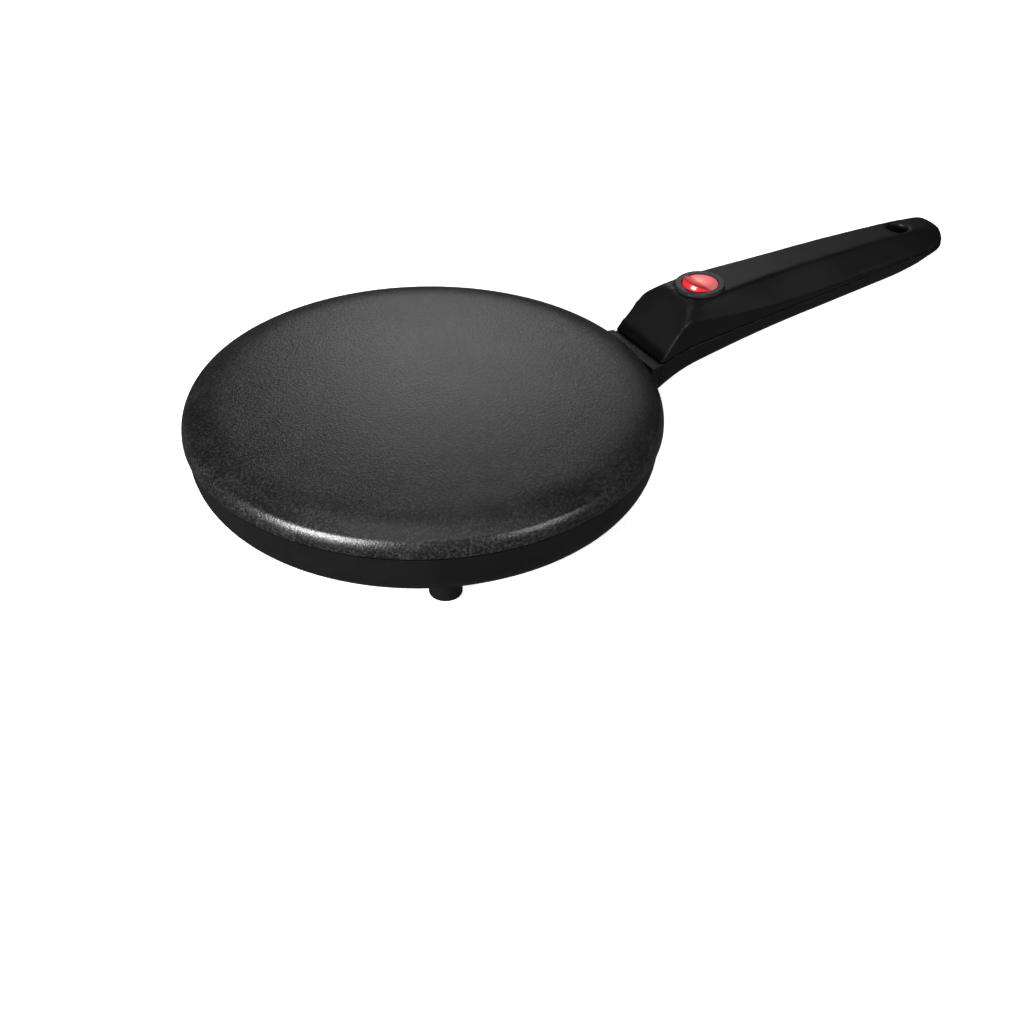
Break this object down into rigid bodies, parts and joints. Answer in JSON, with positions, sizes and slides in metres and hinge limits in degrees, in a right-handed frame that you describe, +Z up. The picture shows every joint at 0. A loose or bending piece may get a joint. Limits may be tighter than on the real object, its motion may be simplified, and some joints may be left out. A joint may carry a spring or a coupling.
{
  "type": "electric crepe maker",
  "caption": "Electric crepe maker: low domed non-stick heating plate on a shallow three-footed base, with a long straight handle that carries a round rocker switch.",
  "frame": {"origin": "on the table, on the middle plane, under the middle of the overall length", "axes": "+X along the handle towards its tip, +Z up, Y across"},
  "size_m": [0.375, 0.2, 0.0539],
  "materials": {
    "coated_plate": "dark non-stick coating on cast aluminium",
    "black_moulding": "satin black heat-resistant plastic",
    "steel": "bright zinc-plated steel",
    "sheath": "dull heat-tinted steel tube",
    "ceramic": "glazed ceramic",
    "sheet_aluminium": "plain pressed sheet",
    "brown_moulding": "brown phenolic moulding",
    "brass": "plain brass",
    "glass_fibre": "woven glass-fibre sleeve",
    "fuse_metal": "tinned case",
    "black_rubber": "matt black rubber",
    "black_gloss": "smooth black plastic",
    "red_lens": "translucent red plastic",
    "white_plastic": "natural white plastic",
    "glass": "clear lamp glass",
    "resistor_body": "beige lacquer",
    "brown_wire": "brown insulation",
    "blue_wire": "blue insulation",
    "green_wire": "green and yellow insulation",
    "white_wire": "white heat-resistant insulation"
  },
  "bodies": {
    "body": {"heating_plate": "coated_plate", "heating_element": "sheath", "element_end_seals": "ceramic", "element_pins": "steel", "element_straps": "steel", "plate_screws": "steel", "thermostat_cap": "sheet_aluminium", "thermostat_body": "brown_moulding", "thermostat_bracket": "steel", "thermostat_tabs": "brass", "thermal_fuse": "fuse_metal", "fuse_sleeve": "glass_fibre", "fuse_clip": "steel", "earth_tag": "brass", "heat_shield": "sheet_aluminium", "base_shell": "black_moulding", "foot_1": "black_moulding", "foot_2": "black_moulding", "foot_3": "black_moulding", "base_screws": "steel", "handle_upper_shell": "black_moulding", "handle_lower_shell": "black_moulding", "handle_screws": "steel", "cord_gland": "black_rubber", "switch_housing": "black_gloss", "switch_terminals": "brass", "neon_lamp": "glass", "lamp_resistor": "resistor_body", "lead_receivers": "brass", "terminal_block": "white_plastic", "terminal_sleeves": "brass", "terminal_screws": "steel", "lead_live": "brown_wire", "lead_fuse": "white_wire", "lead_heater": "white_wire", "lead_neutral": "blue_wire", "lead_earth": "green_wire"},
    "rocker": {"switch_rocker": "red_lens", "switch_plunger": "white_plastic", "switch_spring": "steel"},
    "teeter": {"switch_teeter": "brass"}
  },
  "joints": [
    {"name": "rocker_hinge", "type": "hinge", "parent": "body", "child": "rocker", "pos_m": [0.0535, 0, 0.0494], "axis": [0, -1, 0], "range_deg": [0, 20]},
    {"name": "teeter_hinge", "type": "hinge", "parent": "body", "child": "teeter", "pos_m": [0.0535, 0, 0.04184], "axis": [0, -1, 0], "range_deg": [-12, 0]}
  ],
  "couplings": [
    {"joint": "teeter_hinge", "follows": "rocker_hinge", "ratio": -0.6}
  ]
}
